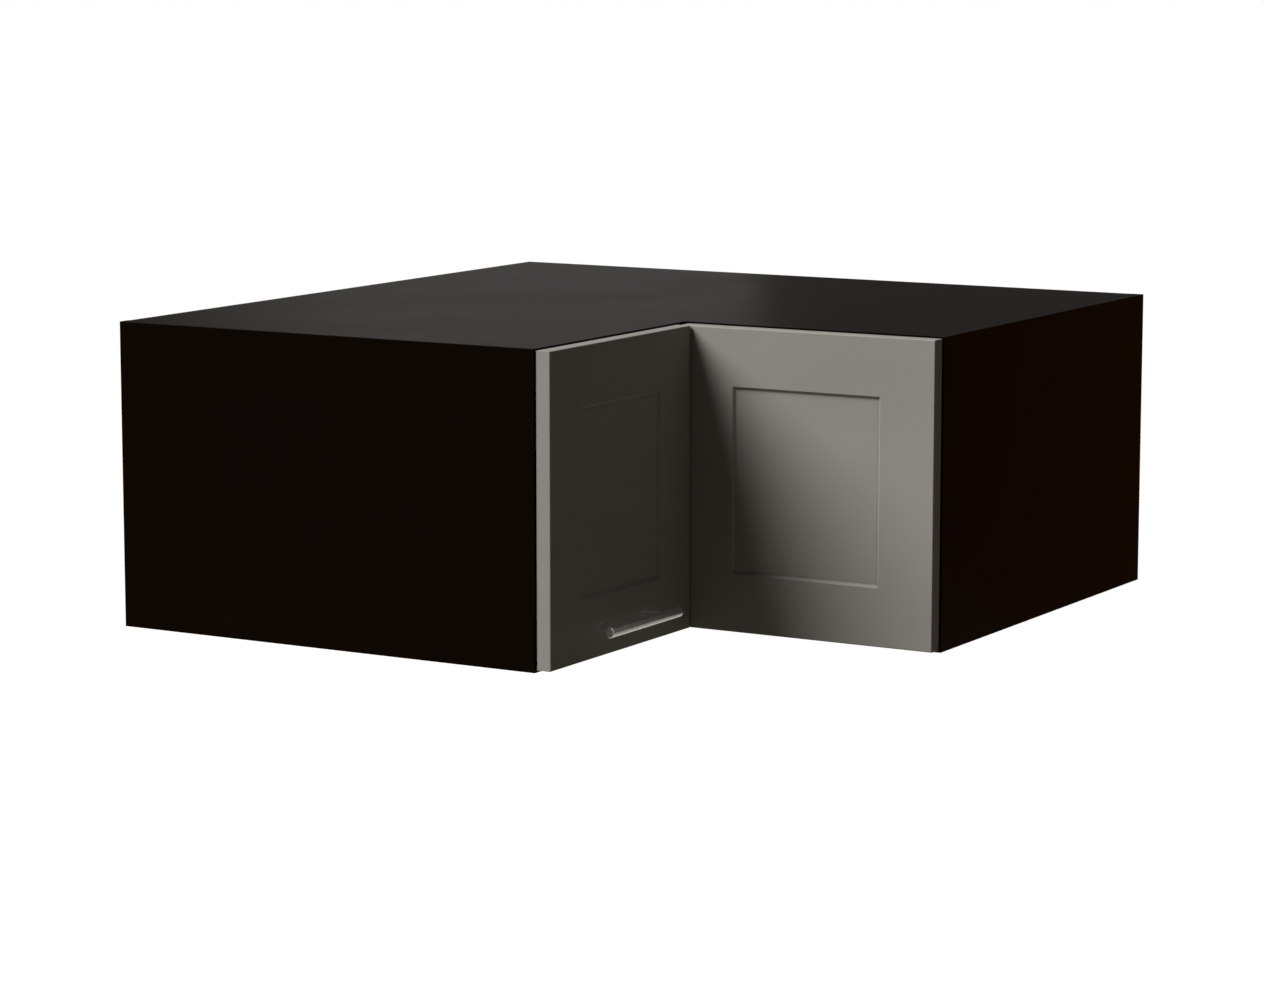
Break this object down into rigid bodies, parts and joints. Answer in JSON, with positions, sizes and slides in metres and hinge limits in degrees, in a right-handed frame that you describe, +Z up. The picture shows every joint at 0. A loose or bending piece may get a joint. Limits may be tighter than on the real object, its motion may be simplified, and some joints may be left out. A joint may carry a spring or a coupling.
{
  "type": "corner wall cabinet",
  "caption": "L-shaped corner wall cabinet with a folding pair of shallow-framed doors in the inner corner and a horizontal bar handle.",
  "frame": {"origin": "the corner where the two walls meet, at the height of the cabinet's underside", "axes": "+X runs along the rear wall behind the right leg, -Y runs along the side wall behind the left leg, +Z is up"},
  "size_m": [0.9, 0.9, 0.36],
  "materials": {
    "carcass_laminate": "satin",
    "backing_board": "matt",
    "batten_wood": "sawn",
    "dowel_wood": "sanded",
    "zinc_steel": "zinc plated",
    "cast_zinc": "as cast",
    "bracket_plastic": "moulded",
    "nickel_steel": "nickel plated",
    "door_lacquer": "matt lacquer",
    "clear_bumper": "soft clear",
    "handle_steel": "brushed"
  },
  "bodies": {
    "carcass": {"left_end_panel": "carcass_laminate", "right_end_panel": "carcass_laminate", "top_panel": "carcass_laminate", "bottom_panel": "carcass_laminate", "left_back_panel": "backing_board", "right_back_panel": "backing_board", "rear_corner_batten": "batten_wood", "cam_bolts": "zinc_steel", "cam_locks": "cast_zinc", "wood_dowels": "dowel_wood", "left_hanger_housing": "bracket_plastic", "right_hanger_housing": "bracket_plastic", "left_hanger_hook": "zinc_steel", "right_hanger_hook": "zinc_steel", "hanger_screws": "zinc_steel", "hinge_mounting_plates": "nickel_steel", "hinge_arms": "nickel_steel", "hinge_arm_pins": "nickel_steel", "hinge_arm_screws": "zinc_steel", "hinge_plate_screws": "zinc_steel"},
    "inner_links": {"hinge_inner_links": "nickel_steel", "hinge_knee_pins": "nickel_steel"},
    "outer_links": {"hinge_outer_links": "nickel_steel"},
    "right_leaf": {"right_door": "door_lacquer", "right_hinge_cups": "nickel_steel", "right_cup_pins": "nickel_steel", "right_cup_screws": "zinc_steel", "fold_hinge_cups": "nickel_steel", "fold_cup_screws": "zinc_steel", "fold_hinge_pins": "nickel_steel"},
    "left_leaf": {"left_door": "door_lacquer", "fold_hinge_arms": "nickel_steel", "fold_arm_screws": "zinc_steel", "door_bumpers": "clear_bumper", "handle_bar": "handle_steel", "handle_posts": "handle_steel", "handle_screws": "zinc_steel"}
  },
  "joints": [
    {"name": "right_leaf_swing", "type": "hinge", "parent": "carcass", "child": "right_leaf", "pos_m": [0.897, -0.586, 0.18], "axis": [0, 0, 1], "range_deg": [0, 165]},
    {"name": "left_leaf_fold", "type": "hinge", "parent": "right_leaf", "child": "left_leaf", "pos_m": [0.563, -0.576, 0.18], "axis": [0, 0, 1], "range_deg": [-70, 0]},
    {"name": "inner_link_turn", "type": "hinge", "parent": "carcass", "child": "inner_links", "pos_m": [0.875, -0.5625, 0.18], "axis": [0, 0, 1], "range_deg": [0, 165]},
    {"name": "outer_link_turn", "type": "hinge", "parent": "right_leaf", "child": "outer_links", "pos_m": [0.8825, -0.5708, 0.18], "axis": [0, 0, 1], "range_deg": [-165, 0]}
  ],
  "couplings": [
    {"joint": "left_leaf_fold", "follows": "right_leaf_swing", "ratio": -0.42424},
    {"joint": "inner_link_turn", "follows": "right_leaf_swing", "ratio": 1},
    {"joint": "outer_link_turn", "follows": "right_leaf_swing", "ratio": -1}
  ]
}
